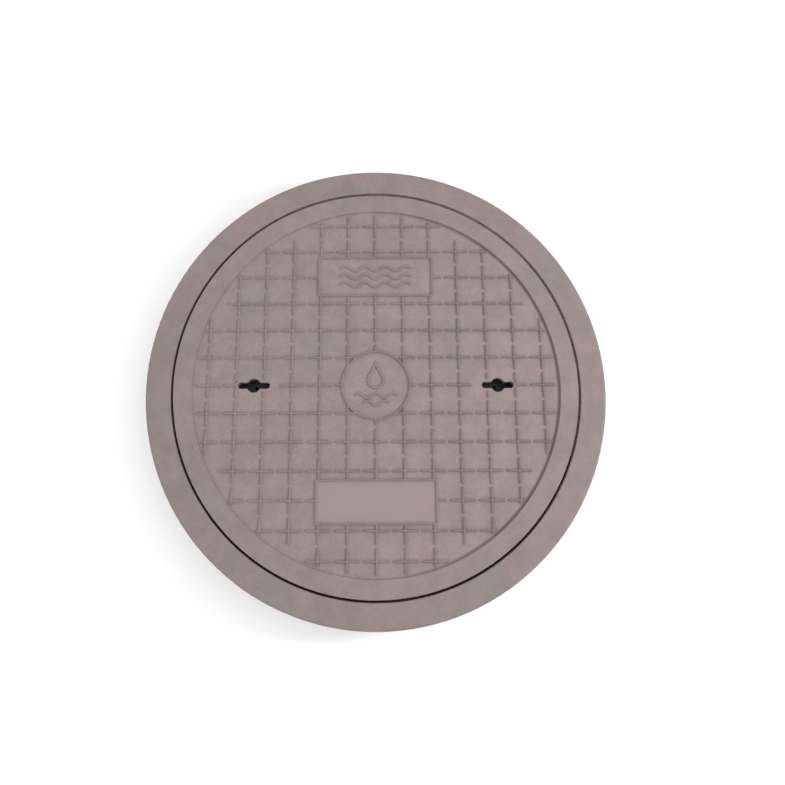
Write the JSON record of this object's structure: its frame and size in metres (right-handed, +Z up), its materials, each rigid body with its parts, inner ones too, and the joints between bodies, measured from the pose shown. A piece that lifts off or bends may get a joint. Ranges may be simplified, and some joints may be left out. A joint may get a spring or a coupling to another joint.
{
  "type": "manhole cover",
  "caption": "Round composite manhole lid with a grid of raised crosses and slotted keyholes, flush in a matching frame ring and resting on a rubber gasket.",
  "frame": {"origin": "centre of the frame's base, on the concrete bed", "axes": "+Z up to the road surface, X through the two keyholes, Y through the two name panels"},
  "size_m": [0.8, 0.8, 0.1],
  "materials": {
    "frame_resin": "moulded glass-filled resin, matt, lightly mottled",
    "lid_resin": "moulded glass-filled resin, matt, fine grain in the tread",
    "gasket_rubber": "black EPDM, matt",
    "bar_steel": "hot-rolled bar with mill scale and light rust",
    "plate_steel": "galvanised",
    "cup_plastic": "black moulded polypropylene",
    "screw_steel": "stainless steel"
  },
  "bodies": {
    "frame_set": {"frame": "frame_resin", "frame_hoop_top": "bar_steel", "frame_hoop_outer": "bar_steel", "frame_hoop_inner": "bar_steel", "frame_stirrups": "bar_steel"},
    "gasket": {"seat_gasket": "gasket_rubber"},
    "lid_set": {"lid": "lid_resin", "lid_hoop": "bar_steel", "lid_bar_x_1": "bar_steel", "lid_bar_x_2": "bar_steel", "lid_bar_x_3": "bar_steel", "lid_bar_x_4": "bar_steel", "lid_bar_x_5": "bar_steel", "lid_bar_x_6": "bar_steel", "lid_bar_x_7": "bar_steel", "lid_bar_x_8": "bar_steel", "lid_bar_y_1": "bar_steel", "lid_bar_y_2": "bar_steel", "lid_bar_y_3": "bar_steel", "lid_bar_y_4": "bar_steel", "lid_bar_y_5": "bar_steel", "lid_bar_y_6": "bar_steel", "lid_bar_y_7": "bar_steel", "key_plate_left": "plate_steel", "key_plate_right": "plate_steel", "key_cup_left": "cup_plastic", "key_cup_right": "cup_plastic", "key_cup_screws_left": "screw_steel", "key_cup_screws_right": "screw_steel"}
  },
  "joints": [
    {"name": "lid_turn", "type": "hinge", "parent": "frame_set", "child": "gasket", "pos_m": [0, 0, 0.054], "axis": [0, 0, 1], "continuous": true},
    {"name": "lid_lift", "type": "slide", "parent": "gasket", "child": "lid_set", "axis": [0, 0, 1], "range_m": [0, 0.2]}
  ]
}
